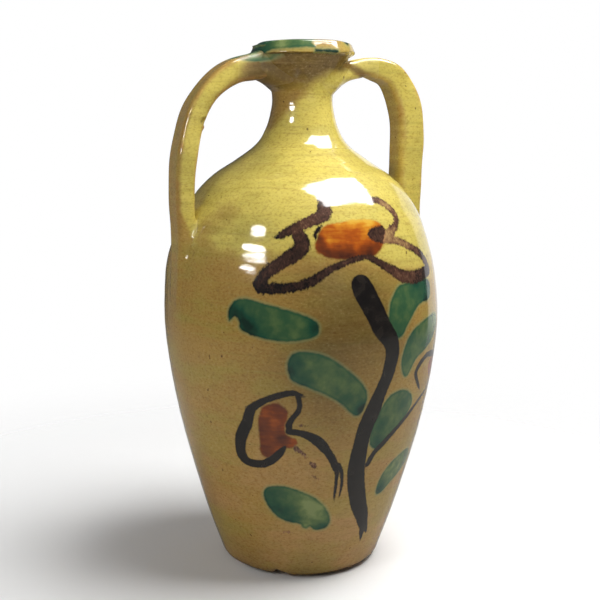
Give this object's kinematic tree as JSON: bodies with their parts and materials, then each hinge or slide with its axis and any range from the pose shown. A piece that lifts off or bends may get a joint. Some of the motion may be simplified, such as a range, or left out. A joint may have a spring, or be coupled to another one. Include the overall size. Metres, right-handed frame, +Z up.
{
  "type": "two-handled jar",
  "caption": "Tall glazed earthenware jar with a narrow neck, a flat thick lip and two strap handles from neck to shoulder.",
  "frame": {"origin": "centre of the flat underside, where the jar stands", "axes": "+Z up the jar's axis to the mouth; the handles lie along X, the left one at -X; the painted front faces -Y"},
  "size_m": [0.2028, 0.2028, 0.38],
  "materials": {
    "honey_glaze": "glossy honey-yellow lead-type glaze with brown and green brushwork",
    "green_glaze": "glossy glaze with green copper slip on the lip",
    "bare_clay": "matt unglazed terracotta with glaze run over its edge"
  },
  "bodies": {
    "root": {"base_disc": "bare_clay", "lower_body": "honey_glaze", "upper_body": "honey_glaze", "neck": "honey_glaze", "rim_ring": "green_glaze", "handle_left": "honey_glaze", "handle_right": "honey_glaze", "neck_wad_left": "honey_glaze", "neck_wad_right": "honey_glaze"}
  },
  "joints": []
}
